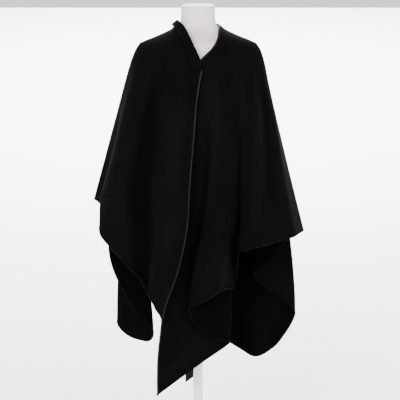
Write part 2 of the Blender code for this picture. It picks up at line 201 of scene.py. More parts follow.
FRONT_DEPTH = (
    (0.000, 0.000),
    (0.002, 0.018),
    (0.007, 0.034),
    (0.016, 0.051),
    (0.030, 0.069),
    (0.050, 0.086),
    (0.080, 0.104),
    (0.120, 0.121),
    (0.190, 0.139),
    (0.260, 0.147),
    (0.500, 0.151),
    (1.300, 0.165),
)
BACK_DEPTH = (
    (0.000, 0.000),
    (0.002, 0.018),
    (0.007, 0.034),
    (0.016, 0.050),
    (0.030, 0.066),
    (0.050, 0.081),
    (0.080, 0.095),
    (0.120, 0.106),
    (0.200, 0.116),
    (0.400, 0.122),
    (1.300, 0.135),
)
FOLDS_RIGHT = (
    Fold(0.00, -0.332, 0.902, 0.000),
    Fold(0.09, -0.304, 0.906, -0.032),
    Fold(0.19, -0.288, 0.880, -0.052),
    Fold(0.30, -0.317, 0.798, -0.080, 2.5),
    Fold(0.38, -0.285, 0.744, -0.122, 1.5),
    Fold(0.46, -0.236, 0.688, -0.150),
    Fold(0.57, -0.190, 0.634, -0.150),
    Fold(0.70, -0.160, 0.578, -0.176),
    Fold(0.83, -0.138, 0.530, -0.192),
    Fold(0.92, -0.126, 0.512, -0.186),
    Fold(1.00, -0.118, 0.492, -0.172),
)
FOLDS_LEFT = (
    Fold(0.00, 0.340, 0.798, 0.000),
    Fold(0.08, 0.320, 0.786, -0.046),
    Fold(0.20, 0.287, 0.771, -0.088),
    Fold(0.40, 0.213, 0.747, -0.138),
    Fold(0.52, 0.155, 0.731, -0.156),
    Fold(0.565, 0.131, 0.725, -0.140),
    Fold(0.59, 0.126, 0.668, -0.108),
    Fold(0.615, 0.117, 0.608, -0.090),
    Fold(0.64, 0.096, 0.601, -0.116),
    Fold(0.67, 0.070, 0.592, -0.152),
    Fold(0.71, 0.035, 0.566, -0.166),
    Fold(0.75, -0.004, 0.546, -0.162),
    Fold(0.78, -0.028, 0.536, -0.149),
    Fold(0.795, -0.028, 0.516, -0.138),
    Fold(0.815, -0.008, 0.474, -0.124),
    Fold(0.835, 0.045, 0.438, -0.106),
    Fold(0.86, 0.092, 0.422, -0.086),
    Fold(0.88, 0.104, 0.418, -0.070),
    Fold(0.90, 0.084, 0.400, -0.058),
    Fold(0.93, 0.020, 0.354, -0.074),
    Fold(0.965, -0.060, 0.293, -0.102),
    Fold(1.00, -0.136, 0.233, -0.122),
)
FOLDS_BACK = (
    Fold(0.00, 0.340, 0.798, 0.000),
    Fold(0.04, 0.306, 0.786, 0.030),
    Fold(0.07, 0.272, 0.748, 0.040),
    Fold(0.10, 0.250, 0.704, 0.036),
    Fold(0.13, 0.207, 0.670, 0.032),
    Fold(0.145, 0.186, 0.656, 0.037),
    Fold(0.16, 0.185, 0.638, 0.049),
    Fold(0.18, 0.208, 0.614, 0.058),
    Fold(0.21, 0.267, 0.572, 0.060),
    Fold(0.24, 0.312, 0.528, 0.066),
    Fold(0.265, 0.312, 0.500, 0.082),
    Fold(0.29, 0.289, 0.455, 0.094),
    Fold(0.33, 0.249, 0.401, 0.100),
    Fold(0.38, 0.191, 0.369, 0.108),
    Fold(0.43, 0.135, 0.400, 0.120),
    Fold(0.48, 0.060, 0.450, 0.134),
    Fold(0.53, -0.010, 0.510, 0.122),
    Fold(0.585, -0.080, 0.548, 0.136),
    Fold(0.64, -0.150, 0.560, 0.128),
    Fold(0.68, -0.215, 0.530, 0.124),
    Fold(0.71, -0.256, 0.508, 0.114),
    Fold(0.73, -0.261, 0.476, 0.098),
    Fold(0.755, -0.225, 0.440, 0.088),
    Fold(0.78, -0.172, 0.423, 0.080),
    Fold(0.795, -0.150, 0.432, 0.073),
    Fold(0.81, -0.148, 0.458, 0.062),
    Fold(0.83, -0.168, 0.486, 0.055),
    Fold(0.85, -0.205, 0.526, 0.056),
    Fold(0.88, -0.255, 0.619, 0.066),
    Fold(0.91, -0.284, 0.700, 0.068),
    Fold(0.94, -0.290, 0.790, 0.056),
    Fold(0.97, -0.299, 0.868, 0.034),
    Fold(1.00, -0.332, 0.902, 0.000),
)
FORM = (
    (0.790, 0.152, 0.070, 0.100),
    (0.805, 0.164, 0.078, 0.112),
    (0.870, 0.172, 0.086, 0.118),
    (0.950, 0.152, 0.090, 0.106),
    (1.060, 0.122, 0.088, 0.088),
    (1.150, 0.136, 0.104, 0.094),
    (1.235, 0.152, 0.122, 0.100),
    (1.300, 0.160, 0.104, 0.098),
    (1.350, 0.164, 0.080, 0.080),
    (1.380, 0.162, 0.060, 0.060),
)
NECK = (
    (1.452, 0.0640, 0.050, 0.050),
    (1.470, 0.0550, 0.049, 0.049),
    (1.490, 0.0530, 0.049, 0.049),
    (1.517, 0.0525, 0.049, 0.049),
)
CREASES_RIGHT = (
    Crease(0.60, 0.60, 0.08, 1.00, 0.080, -0.017),
    Crease(0.31, 0.36, 0.06, 0.95, 0.085, 0.009),
    Crease(0.86, 0.84, 0.08, 0.95, 0.065, 0.008),
    Crease(0.44, 0.47, 0.35, 0.95, 0.035, 0.004),
    Crease(0.73, 0.70, 0.40, 1.00, 0.035, 0.005),
    Crease(0.50, 0.52, 0.12, 0.55, 0.030, 0.003),
    Crease(0.95, 0.93, 0.15, 0.50, 0.030, -0.003),
)
CREASES_LEFT = (
    Crease(0.595, 0.60, 0.08, 0.80, 0.050, 0.007),
    Crease(0.52, 0.53, 0.30, 1.00, 0.025, -0.003),
    Crease(0.85, 0.84, 0.05, 0.72, 0.075, 0.014),
    Crease(0.44, 0.46, 0.12, 0.95, 0.050, 0.008),
    Crease(0.30, 0.33, 0.08, 0.90, 0.065, -0.008),
    Crease(0.17, 0.14, 0.15, 1.00, 0.060, 0.005),
    Crease(0.66, 0.65, 0.30, 0.90, 0.020, 0.003),
    Crease(0.635, 0.64, 0.72, 1.00, 0.016, -0.003),
    Crease(0.950, 0.985, 0.890, 0.980, 0.006, 0.006),
)
CREASES_BACK = (
    Crease(0.20, 0.17, 0.10, 0.55, 0.030, -0.007),
    Crease(0.33, 0.35, 0.12, 1.00, 0.040, 0.007),
    Crease(0.42, 0.43, 0.15, 1.00, 0.026, -0.008),
    Crease(0.51, 0.52, 0.20, 1.00, 0.032, 0.006),
    Crease(0.60, 0.585, 0.12, 1.00, 0.028, -0.007),
    Crease(0.68, 0.655, 0.10, 0.95, 0.036, 0.007),
    Crease(0.80, 0.82, 0.12, 0.60, 0.028, -0.006),
    Crease(0.90, 0.92, 0.25, 0.70, 0.030, 0.004),
)


class Side(Enum):
    """Which way a panel faces."""

    FRONT = -1.0
    BEHIND = 1.0


class Hold(Enum):
    """How a sheet is held."""

    DRAPED = "draped"


def smooth_value(table: Table, key: float) -> float:
    """Read a table on a smooth curve through its rows.

    Args:
        table: rows of key and value, in rising order.
        key: where to read it.

    Returns:
        The value at the key.
    """
    if key <= table[0][0]:
        return table[0][1]
    if key >= table[-1][0]:
        return table[-1][1]
    last = len(table) - 1
    low = max(i for i in range(last) if table[i][0] <= key)
    span = table[low + 1][0] - table[low][0]
    rise = table[low + 1][1] - table[low][1]
    slopes = []
    for i in (low, low + 1):
        before = table[max(i - 1, 0)]
        after = table[min(i + 1, last)]
        slopes.append((after[1] - before[1]) / (after[0] - before[0]) * span)
    steepest = 3.0 * abs(rise)
    slopes = [max(-steepest, min(steepest, slope)) for slope in slopes]
    t = (key - table[low][0]) / span
    start = (2 * t**3 - 3 * t**2 + 1) * table[low][1] + (t**3 - 2 * t**2 + t) * slopes[0]
    end = (3 * t**2 - 2 * t**3) * table[low + 1][1] + (t**3 - t**2) * slopes[1]
    return start + end


def through(values: Sequence[float], place: float) -> float:
    """Read evenly counted values on a smooth curve.

    Args:
        values: the values.
        place: where to read, counted along them.

    Returns:
        The value there.
    """
    last = len(values) - 1
    low = min(int(place), last - 1)
    t = place - low
    before = values[max(low - 1, 0)]
    here = values[low]
    after = values[low + 1]
    beyond = values[min(low + 2, last)]
    start = (2 * t**3 - 3 * t**2 + 1) * here + (t**3 - 2 * t**2 + t) * (after - before) * 0.5
    end = (3 * t**2 - 2 * t**3) * after + (t**3 - t**2) * (beyond - here) * 0.5
    return start + end


def smooth_step(value: float) -> float:
    """Ease between 0 and 1.

    Args:
        value: any number, held to 0 to 1.

    Returns:
        The eased number.
    """
    t = min(max(value, 0.0), 1.0)
    return t * t * (3.0 - 2.0 * t)


def shoulder_steps(drop: float) -> int:
    """Rows of the shell between one shoulder drop and the next.

    Args:
        drop: the upper drop.

    Returns:
        The count.
    """
    return 2 if drop < CLOSE_DROP else 3


def seen_from_front(across: float, height: float, depth: float) -> Vector:
    """Place a point at a depth so that the outline seen from the front holds.

    Args:
        across: place across in the plane of the body.
        height: height in the plane of the body.
        depth: how far behind that plane.

    Returns:
        The point in the room.
    """
    reach = (EYE_DISTANCE + depth) / EYE_DISTANCE
    return Vector((across * reach, depth, EYE_HEIGHT - (EYE_HEIGHT - height) * reach))


def crest_height(across: float) -> float:
    """Height of the cloth over the shoulder.

    Args:
        across: distance from the middle.

    Returns:
        The height.
    """
    return smooth_value(CREST, abs(across))


class Wire:
    """A value in a shader tree that takes part in sums."""

    def __init__(self, paint: "Paint", socket: bpy.types.NodeSocket) -> None:
        self.paint = paint
        self.socket = socket

    def _sum(self, kind: str, *others: "Wire | float") -> "Wire":
        return self.paint.node("ShaderNodeMath", "Value", operation=kind, feed=(self, *others))

    def __add__(self, other: "Wire | float") -> "Wire":
        return self._sum("ADD", other)

    def __radd__(self, other: float) -> "Wire":
        return self._sum("ADD", other)

    def __sub__(self, other: "Wire | float") -> "Wire":
        return self._sum("SUBTRACT", other)

    def __rsub__(self, other: float) -> "Wire":
        return self._sum("MULTIPLY", -1.0) + other

    def __mul__(self, other: "Wire | float") -> "Wire":
        return self._sum("MULTIPLY", other)

    def __rmul__(self, other: float) -> "Wire":
        return self._sum("MULTIPLY", other)

    def __truediv__(self, other: "Wire | float") -> "Wire":
        return self._sum("DIVIDE", other)

    def __pow__(self, other: "Wire | float") -> "Wire":
        return self._sum("POWER", other)

    def wave(self) -> "Wire":
        """Sine of the value.

        Returns:
            The sine.
        """
        return self._sum("SINE")

    def between(self, low: float, high: float) -> "Wire":
        """Ease the value from 0 at low to 1 at high.

        Args:
            low: where it is 0.
            high: where it is 1.

        Returns:
            The eased value.
        """
        return self.paint.node(
            "ShaderNodeMapRange",
            "Result",
            interpolation_type="SMOOTHSTEP",
            feed=(self, low, high, 0.0, 1.0),
        )


class Paint:
    """A procedural material under construction."""

    def __init__(self, name: str) -> None:
        self.material = bpy.data.materials.new(name)
        self.material.use_nodes = True
        self.tree = self.material.node_tree
        self.shader = self.tree.nodes["Principled BSDF"]

    def node(self, kind: str, out: str, feed: Sequence = (), **options: object) -> Wire:
        """Add a node.

        Args:
            kind: type name of the node.
            out: name of the output to use.
            feed: values or wires for its inputs in order, None to leave one alone.
            options: settings of the node.

        Returns:
            The wire from its output.
        """
        made = self.tree.nodes.new(kind)
        for key, value in options.items():
            setattr(made, key, value)
        for place, value in enumerate(feed):
            self.join(value, made.inputs[place])
        return Wire(self, made.outputs[out])

    def join(self, value: object, socket: bpy.types.NodeSocket) -> None:
        """Feed a socket with a wire or a constant.

        Args:
            value: a wire, a constant or None.
            socket: where it goes.
        """
        if isinstance(value, Wire):
            self.tree.links.new(value.socket, socket)
        elif value is not None:
            socket.default_value = value

    def room(self, stretch: Sequence[float] = EVEN) -> Wire:
        """Object coordinates.

        Args:
            stretch: scale along each axis.

        Returns:
            The coordinates.
        """
        place = self.node("ShaderNodeTexCoord", "Object")
        return self.node("ShaderNodeVectorMath", "Vector", operation="MULTIPLY", feed=(place, stretch))

    def flat(self, name: str, stretch: Sequence[float] = EVEN) -> Wire:
        """Coordinates of a map of the piece itself.

        Args:
            name: the map's name.
            stretch: scale along each axis.

        Returns:
            The coordinates.
        """
        place = self.node("ShaderNodeUVMap", "UV", uv_map=name)
        return self.node("ShaderNodeVectorMath", "Vector", operation="MULTIPLY", feed=(place, stretch))

    def noise(self, place: Wire, scale: float, detail: float = 4.0, rough: float = 0.6) -> Wire:
        """Soft noise.

        Args:
            place: coordinates.
            scale: how fine it is.
            detail: octaves.
            rough: strength of the finer octaves.

        Returns:
            The noise, about 0 to 1.
        """
        made = self.tree.nodes.new("ShaderNodeTexNoise")
        self.join(place, made.inputs["Vector"])
        made.inputs["Scale"].default_value = scale
        made.inputs["Detail"].default_value = detail
        made.inputs["Roughness"].default_value = rough
        return Wire(self, made.outputs["Fac"])

    def blend(self, share: Wire | float, low: object, high: object, kind: str = "MIX") -> Wire:
        """Blend or multiply two colours.

        Args:
            share: 0 for the first, 1 for the second or for the whole product.
            low: first colour, as a wire or three numbers.
            high: second colour.
            kind: MIX or MULTIPLY.

        Returns:
            The colour.
        """
        made = self.tree.nodes.new("ShaderNodeMix")
        made.data_type = "RGBA"
        made.blend_type = kind
        self.join(share, made.inputs[0])
        for value, socket in ((low, made.inputs[6]), (high, made.inputs[7])):
            self.join(value if isinstance(value, Wire) else (*value, 1.0), socket)
        return Wire(self, made.outputs[2])

    def parts(self, place: Wire) -> tuple[Wire, Wire]:
        """First two coordinates of a place.

        Args:
            place: coordinates.

        Returns:
            The two values.
        """
        made = self.tree.nodes.new("ShaderNodeSeparateXYZ")
        self.join(place, made.inputs[0])
        return Wire(self, made.outputs["X"]), Wire(self, made.outputs["Y"])

    def bump(self, height: Wire, reach: float, strength: float = 1.0) -> None:
        """Give the shader a bump.

        Args:
            height: 0 to 1.
            reach: what 1 stands for, in metres.
            strength: how much of it is used.
        """
        made = self.tree.nodes.new("ShaderNodeBump")
        made.inputs["Strength"].default_value = strength
        made.inputs["Distance"].default_value = reach
        self.join(height, made.inputs["Height"])
        self.tree.links.new(made.outputs["Normal"], self.shader.inputs["Normal"])

    def set(self, **values: object) -> None:
        """Set sockets of the shader by name, with _ for a space.

        Args:
            values: a wire or a constant for each.
        """
        for key, value in values.items():
            self.join(value, self.shader.inputs[key.replace("_", " ")])


@dataclass(frozen=True)
class WoolFinish:
    """Matte coat wool, with painted shade in the troughs of its creases and painted light on their ridges.
    """

    name: str = "wool_cloth"
    dark: Colour = (0.0004, 0.0004, 0.0005)
    light: Colour = (0.0028, 0.0025, 0.0031)
    shine: float = 0.03
    fuzz: float = 0.0007

    def build(self) -> bpy.types.Material:
        """Make the material.

        Returns:
            The material.
        """
        paint = Paint(self.name)
        fibres = paint.noise(paint.flat("cut", (1.0, 0.35, 1.0)), 900.0, 3.0, 0.65)
        nap = paint.noise(paint.flat("cut", (1.0, 0.5, 1.0)), 120.0, 5.0, 0.7)
        cloud = paint.noise(paint.flat("cut"), 9.0, 3.0, 0.5)
        # Crease heights paint shade into the troughs and light onto the ridges.
        ridge = self._painted_fold_shade(paint)
        tone = fibres * 0.3 + nap * 0.4 + cloud * 0.3 + ridge * 0.16
        warm = cloud * 0.3 + 0.85
        cool = 1.15 - cloud * 0.3
        tint = paint.node("ShaderNodeCombineColor", "Color", feed=(warm, 0.97, cool))
        ground = paint.blend(tone.between(0.2, 0.85), self.dark, self.light)
        paint.set(
            Base_Color=paint.blend(1.0, ground, tint, "MULTIPLY"),
            Roughness=nap * 0.12 + 0.86,
            Sheen_Weight=self.shine * 0.2,
            Sheen_Roughness=0.5,
            Sheen_Tint=(0.62, 0.55, 0.66, 1.0),
            Specular_IOR_Level=self.shine,
        )
        paint.bump(fibres * 0.5 + nap * 0.5, self.fuzz, 0.7)
        return paint.material

    @staticmethod
    def _painted_fold_shade(paint: Paint) -> Wire:
        """Painted fold shade from the crease heights: lighter on the ridges, darker in the troughs.

        Args:
            paint: the material under construction.

        Returns:
            The wire, -1 in a trough to 1 on a ridge.
        """
        return paint.node("ShaderNodeAttribute", "Fac", attribute_name="ridge")


@dataclass(frozen=True)
class BindingFinish:
    """Slightly shiny ribbed bias binding."""

    name: str = "edge_binding"
    dark: Colour = (0.0018, 0.0015, 0.0017)
    light: Colour = (0.0052, 0.0043, 0.0048)
    shine: float = 0.14
    # Threshold of the painted glint patches: a higher value leaves fewer light patches.
    patch: float = 0.35
    ribs: float = 2600.0

    def build(self) -> bpy.types.Material:
        """Make the material.

        Returns:
            The material.
        """
        paint = Paint(self.name)
        along, _ = paint.parts(paint.flat("cut"))
        rib = (along * self.ribs).wave() * 0.5 + 0.5
        wear = paint.noise(paint.flat("cut"), 60.0, 4.0, 0.6)
        # Random patches where the binding turns light are painted glints; the rest of the binding stays
        # dark.
        glint_patches = paint.noise(paint.room(), 11.0, 1.0, 0.4).between(self.patch, self.patch + 0.18)
        tone = (rib * 0.5 + wear * 0.5) * glint_patches
        paint.set(
            Base_Color=paint.blend(tone, self.dark, self.light),
            Roughness=wear * 0.2 + 0.36,
            Specular_IOR_Level=self.shine,
        )
        paint.bump(rib * 0.6 + wear * 0.4, 0.0003, 0.6)
        return paint.material


@dataclass(frozen=True)
class ThreadFinish:
    """Twisted sewing thread."""

    colour: Colour = (0.0035, 0.0032, 0.0034)

    def build(self) -> bpy.types.Material:
        """Make the material.

        Returns:
            The material.
        """
        paint = Paint("sewing_thread")
        twist = paint.noise(paint.room(), 2500.0, 2.0, 0.5)
        light = tuple(part * 1.8 for part in self.colour)
        paint.set(Base_Color=paint.blend(twist, self.colour, light), Roughness=0.6, Specular_IOR_Level=0.15)
        paint.bump(twist, 0.0001, 0.5)
        return paint.material


@dataclass(frozen=True)
class LabelFinish:
    """Woven label tape with a light selvedge on one side."""

    ground: Colour = (0.0055, 0.0058, 0.0046)
    pale: Colour = (0.024, 0.024, 0.021)

    def build(self) -> bpy.types.Material:
        """Make the material.

        Returns:
            The material.
        """
        paint = Paint("label_tape")
        across, down = paint.parts(paint.flat("cut"))
        weft = (down * 5200.0).wave() * 0.5 + 0.5
        warp = (across * 7400.0).wave() * 0.5 + 0.5
        edge = 1.0 - across.between(0.0012, 0.0018)
        paint.set(
            Base_Color=paint.blend(edge * 0.9 + weft * 0.1, self.ground, self.pale),
            Roughness=0.9,
            Specular_IOR_Level=0.05,
        )
        paint.bump(weft * 0.6 + warp * 0.4, 0.00015, 0.6)
        return paint.material


@dataclass(frozen=True)
class ShellFinish:
    """Cream cover of the dress form."""

    pale: Colour = (0.80, 0.73, 0.69)
    deep: Colour = (0.74, 0.66, 0.62)

    def build(self) -> bpy.types.Material:
        """Make the material.

        Returns:
            The material.
        """
        paint = Paint("form_shell")
        knit = paint.noise(paint.room((1.0, 1.0, 0.6)), 700.0, 3.0, 0.6)
        cloud = paint.noise(paint.room(), 14.0, 3.0, 0.5)
        paint.set(
            Base_Color=paint.blend(cloud * 0.7 + knit * 0.3, self.deep, self.pale),
            Roughness=cloud * 0.15 + 0.52,
            Specular_IOR_Level=0.35,
        )
        paint.bump(knit, 0.00025, 0.4)
        return paint.material


@dataclass(frozen=True)
class MetalFinish:
    """White stoved paint on steel."""

    colour: Colour = (0.83, 0.83, 0.82)
    shade: Colour = (0.76, 0.76, 0.76)

    def build(self) -> bpy.types.Material:
        """Make the material.

        Returns:
            The material.
        """
        paint = Paint("stand_paint")
        peel = paint.noise(paint.room(), 350.0, 3.0, 0.5)
        wear = paint.noise(paint.room(), 11.0, 4.0, 0.6)
        paint.set(
            Base_Color=paint.blend(wear, self.shade, self.colour),
            Roughness=wear * 0.18 + 0.24,
            Coat_Weight=0.3,
        )
        paint.bump(peel, 0.0001, 0.3)
        return paint.material


@dataclass(frozen=True)
class FloorFinish:
    """Plain pale studio floor."""

    colour: Colour = (0.92, 0.92, 0.92)

    def build(self) -> bpy.types.Material:
        """Make the material.

        Returns:
            The material.
        """
        paint = Paint("studio_floor")
        grain = paint.noise(paint.room(), 3.0, 2.0, 0.5)
        pale = tuple(part * 0.99 for part in self.colour)
        paint.set(Base_Color=paint.blend(grain, pale, self.colour), Roughness=0.9)
        return paint.material


# Darker, duller copy of the wool for the inner faces: painted shade of the hollows inside the cape.
SHADED_INSIDE = WoolFinish("wool_inside_shaded", (0.0006, 0.0006, 0.0007), (0.0022, 0.0021, 0.0024), 0.014)
# Darker, duller copy of the binding for the hems and the lapel: painted shade where these edges face down
# and away from the lamps.
HEM_BINDING_SHADED = BindingFinish("hem_binding", (0.0005, 0.0005, 0.0005), (0.0036, 0.0030, 0.0033), 0.02, 0.56)


@dataclass
class Finishes:
    """The finished materials, one of each."""

    wool: bpy.types.Material = field(default_factory=lambda: WoolFinish().build())
    wool_inside_shaded: bpy.types.Material = field(default_factory=lambda: SHADED_INSIDE.build())
    binding: bpy.types.Material = field(default_factory=lambda: BindingFinish().build())
    hem_binding: bpy.types.Material = field(default_factory=lambda: HEM_BINDING_SHADED.build())
    thread: bpy.types.Material = field(default_factory=lambda: ThreadFinish().build())
    label: bpy.types.Material = field(default_factory=lambda: LabelFinish().build())
    shell: bpy.types.Material = field(default_factory=lambda: ShellFinish().build())
    metal: bpy.types.Material = field(default_factory=lambda: MetalFinish().build())
    floor: bpy.types.Material = field(default_factory=lambda: FloorFinish().build())


def finished(
    name: str, bm: bmesh.types.BMesh, look: bpy.types.Material, angle: float = 50.0
) -> bpy.types.Object:
    """Turn a bmesh into a shaded object.

    Args:
        name: the object's name.
        bm: its mesh, freed here.
        look: its material.
        angle: edges sharper than this many degrees stay hard.

    Returns:
        The object.
    """
    mesh = bpy.data.meshes.new(name)
    bm.to_mesh(mesh)
    bm.free()
    mesh.shade_smooth()
    mesh.set_sharp_from_angle(angle=math.radians(angle))
    made = bpy.data.objects.new(name, mesh)
    made.data.materials.append(look)
    bpy.context.scene.collection.objects.link(made)
    return made


def placed_grid(points: Grid, marks: Callable[[int, int], tuple[float, float]]) -> bmesh.types.BMesh:
    """Mesh through a grid of points with a map of its own.

    Args:
        points: rows of points.
        marks: map coordinates of a row and column.

    Returns:
        The mesh.
    """
    rows = len(points)
    columns = len(points[0])
    bm = bmesh.new()
    bmesh.ops.create_grid(bm, x_segments=columns - 1, y_segments=rows - 1, size=1.0)
    bm.verts.ensure_lookup_table()
    cut = bm.loops.layers.uv.new("cut")
    for index, vert in enumerate(bm.verts):
        r, c = divmod(index, columns)
        vert.co = points[r][c]
        for loop in vert.link_loops:
            loop[cut].uv = marks(r, c)
    return bm


def surface_normals(points: Grid) -> Grid:
    """Unit normals of a grid of points.

    Args:
        points: rows of points.

    Returns:
        The normals.
    """
    rows = len(points)
    columns = len(points[0])
    normals = []
    for r in range(rows):
        line = []
        for c in range(columns):
            along = points[r][min(c + 1, columns - 1)] - points[r][max(c - 1, 0)]
            down = points[min(r + 1, rows - 1)][c] - points[max(r - 1, 0)][c]
            line.append(along.cross(down).normalized())
        normals.append(line)
    return normals


class DressForm:
    """The limbless dress form: a smooth shell with its neck cap."""

    def __init__(self) -> None:
        self.rows = self._rings()
        self.tables = [[(row[0], row[k]) for row in self.rows] for k in (1, 2, 3)]

    def _rings(self) -> list[tuple[float, float, float, float]]:
        rings = list(FORM)
        for half_width, half_depth, slack in FORM_SHOULDER:
            height = crest_height(half_width) - WALL - FORM_CLEAR - slack
            rings.append((height, half_width, half_depth, half_depth))
        rings.extend(NECK)
        return rings

    def half_depth(self, across: float, height: float, side: Side) -> float:
        """Half depth of the form at a point seen from the front.

        Args:
            across: place across.
            height: height.
            side: front or behind.

        Returns:
            The half depth, 0 outside the form.
        """
        share = abs(across) / smooth_value(self.tables[0], height)
        if share >= 1.0 or height < self.rows[0][0]:
            return 0.0
        return smooth_value(self.tables[1 if side is Side.FRONT else 2], height) * math.sqrt(1.0 - share**2)

    def clear(self, point: Vector, side: Side) -> Vector:
        """Move a point out of the form.

        Args:
            point: middle of the cloth's wall.
            side: front or behind.

        Returns:
            The point, moved if it was too near.
        """
        needed = self.half_depth(point.x, point.z, side)
        if needed == 0.0:
            return point
        needed += WALL * 0.5 + FORM_CLEAR
        if abs(point.y) < needed:
            point = Vector((point.x, needed * side.value, point.z))
        return point

    def ring(
        self, height: float, sides: int, share: float = 1.0, sizes: Sequence[float] = ()
    ) -> list[Vector]:
        """Points of one ring.

        Args:
            height: its height.
            sides: how many points.
            share: scale about the middle.
            sizes: half width and half depths, read from the table if not given.

        Returns:
            The points.
        """
        half, front, behind = sizes or [smooth_value(table, height) for table in self.tables]
        points = []
        for i in range(sides):
            angle = 2 * math.pi * i / sides
            deep = behind if math.sin(angle) > 0.0 else front
            points.append(Vector((half * share * math.cos(angle), deep * share * math.sin(angle), height)))
        return points

    def build(self, look: bpy.types.Material) -> Pieces:
        """Build the torso and its neck cap.

        Args:
            look: cover of the form.

        Returns:
            The objects.
        """
        sides = FORM_SIDES
        low = self.rows[0][0]
        high = self.rows[-1][0]
        start = low + FORM_LIP
        rings = [self.ring(low, sides, 0.94)]
        for i in range(FORM_STEPS + 1):
            rings.append(self.ring(start + (high - start) * i / FORM_STEPS, sides))
        torso = finished("form_cover", stacked(rings), look, 40.0)
        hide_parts("form_torso")
        neck = NECK[-1]
        cap = []
        for rise, share in CAP_PROFILE:
            cap.append(self.ring(high + SEAM_GAP + rise, sides, share, neck[1:]))
        disc = finished("form_neck_disc", stacked(cap), look, 40.0)
        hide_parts("form_neck_cap")
        return [torso, disc]


def stacked(rings: Sequence[Sequence[Vector]]) -> bmesh.types.BMesh:
    """Closed body through rings, one above the other.

    Args:
        rings: rings with the same number of points.

    Returns:
        The mesh.
    """
    bm = bmesh.new()
    below: list[bmesh.types.BMEdge] = []
    for ring in rings:
        verts = [bm.verts.new(point) for point in ring]
        edges = [bm.edges.new((verts[i - 1], verts[i])) for i in range(len(verts))]
        if below:
            bmesh.ops.bridge_loops(bm, edges=below + edges)
        else:
            bmesh.ops.contextual_create(bm, geom=edges)
        below = edges
    bmesh.ops.contextual_create(bm, geom=below)
    bmesh.ops.recalc_face_normals(bm, faces=bm.faces[:])
    return bm


@dataclass
class Stand:
    """Pole and foot that carry the form."""

    pole: float = 0.016
    foot: float = 0.185
    thick: float = 0.014
    top: float = 0.790
    sides: int = 64

    def _spun(self, name: str, profile: Table, look: bpy.types.Material) -> bpy.types.Object:
        bm = bmesh.new()
        verts = [bm.verts.new((radius, 0.0, height)) for radius, height in profile]
        edges = [bm.edges.new(pair) for pair in zip(verts, verts[1:])]
        bmesh.ops.spin(
            bm,
            geom=verts + edges,
            cent=(0.0, 0.0, 0.0),
            axis=(0.0, 0.0, 1.0),
            angle=math.tau,
            steps=self.sides,
            use_merge=True,
        )
        bmesh.ops.remove_doubles(bm, verts=bm.verts[:], dist=1e-6)
        bmesh.ops.recalc_face_normals(bm, faces=bm.faces[:])
        return finished(name, bm, look, 35.0)

    def build(self, look: bpy.types.Material) -> Pieces:
        """Build the pole and the foot.

        Args:
            look: paint of the stand.

        Returns:
            The objects.
        """
        low = self.thick + SEAM_GAP
        high = self.top - SEAM_GAP
        p = self.pole
        pole = self._spun(
            "stand_tube",
            (
                (0.0, low),
                (p + 0.006, low),
                (p + 0.006, low + 0.012),
                (p + 0.004, low + 0.016),
                (p, low + 0.018),
                (p, high - 0.04),
                (p + 0.003, high - 0.038),
                (p + 0.003, high),
                (0.0, high),
            ),
            look,
        )
        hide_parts("stand_pole")
        f = self.foot
        foot = self._spun(
            "stand_disc",
            (
                (0.0, 0.0),
                (f - 0.002, 0.0),
                (f, 0.002),
                (f, self.thick - 0.004),
                (f - 0.0012, self.thick - 0.0012),
                (f - 0.004, self.thick),
                (0.0, self.thick),
            ),
            look,
        )
        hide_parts("stand_foot")
        return [pole, foot]


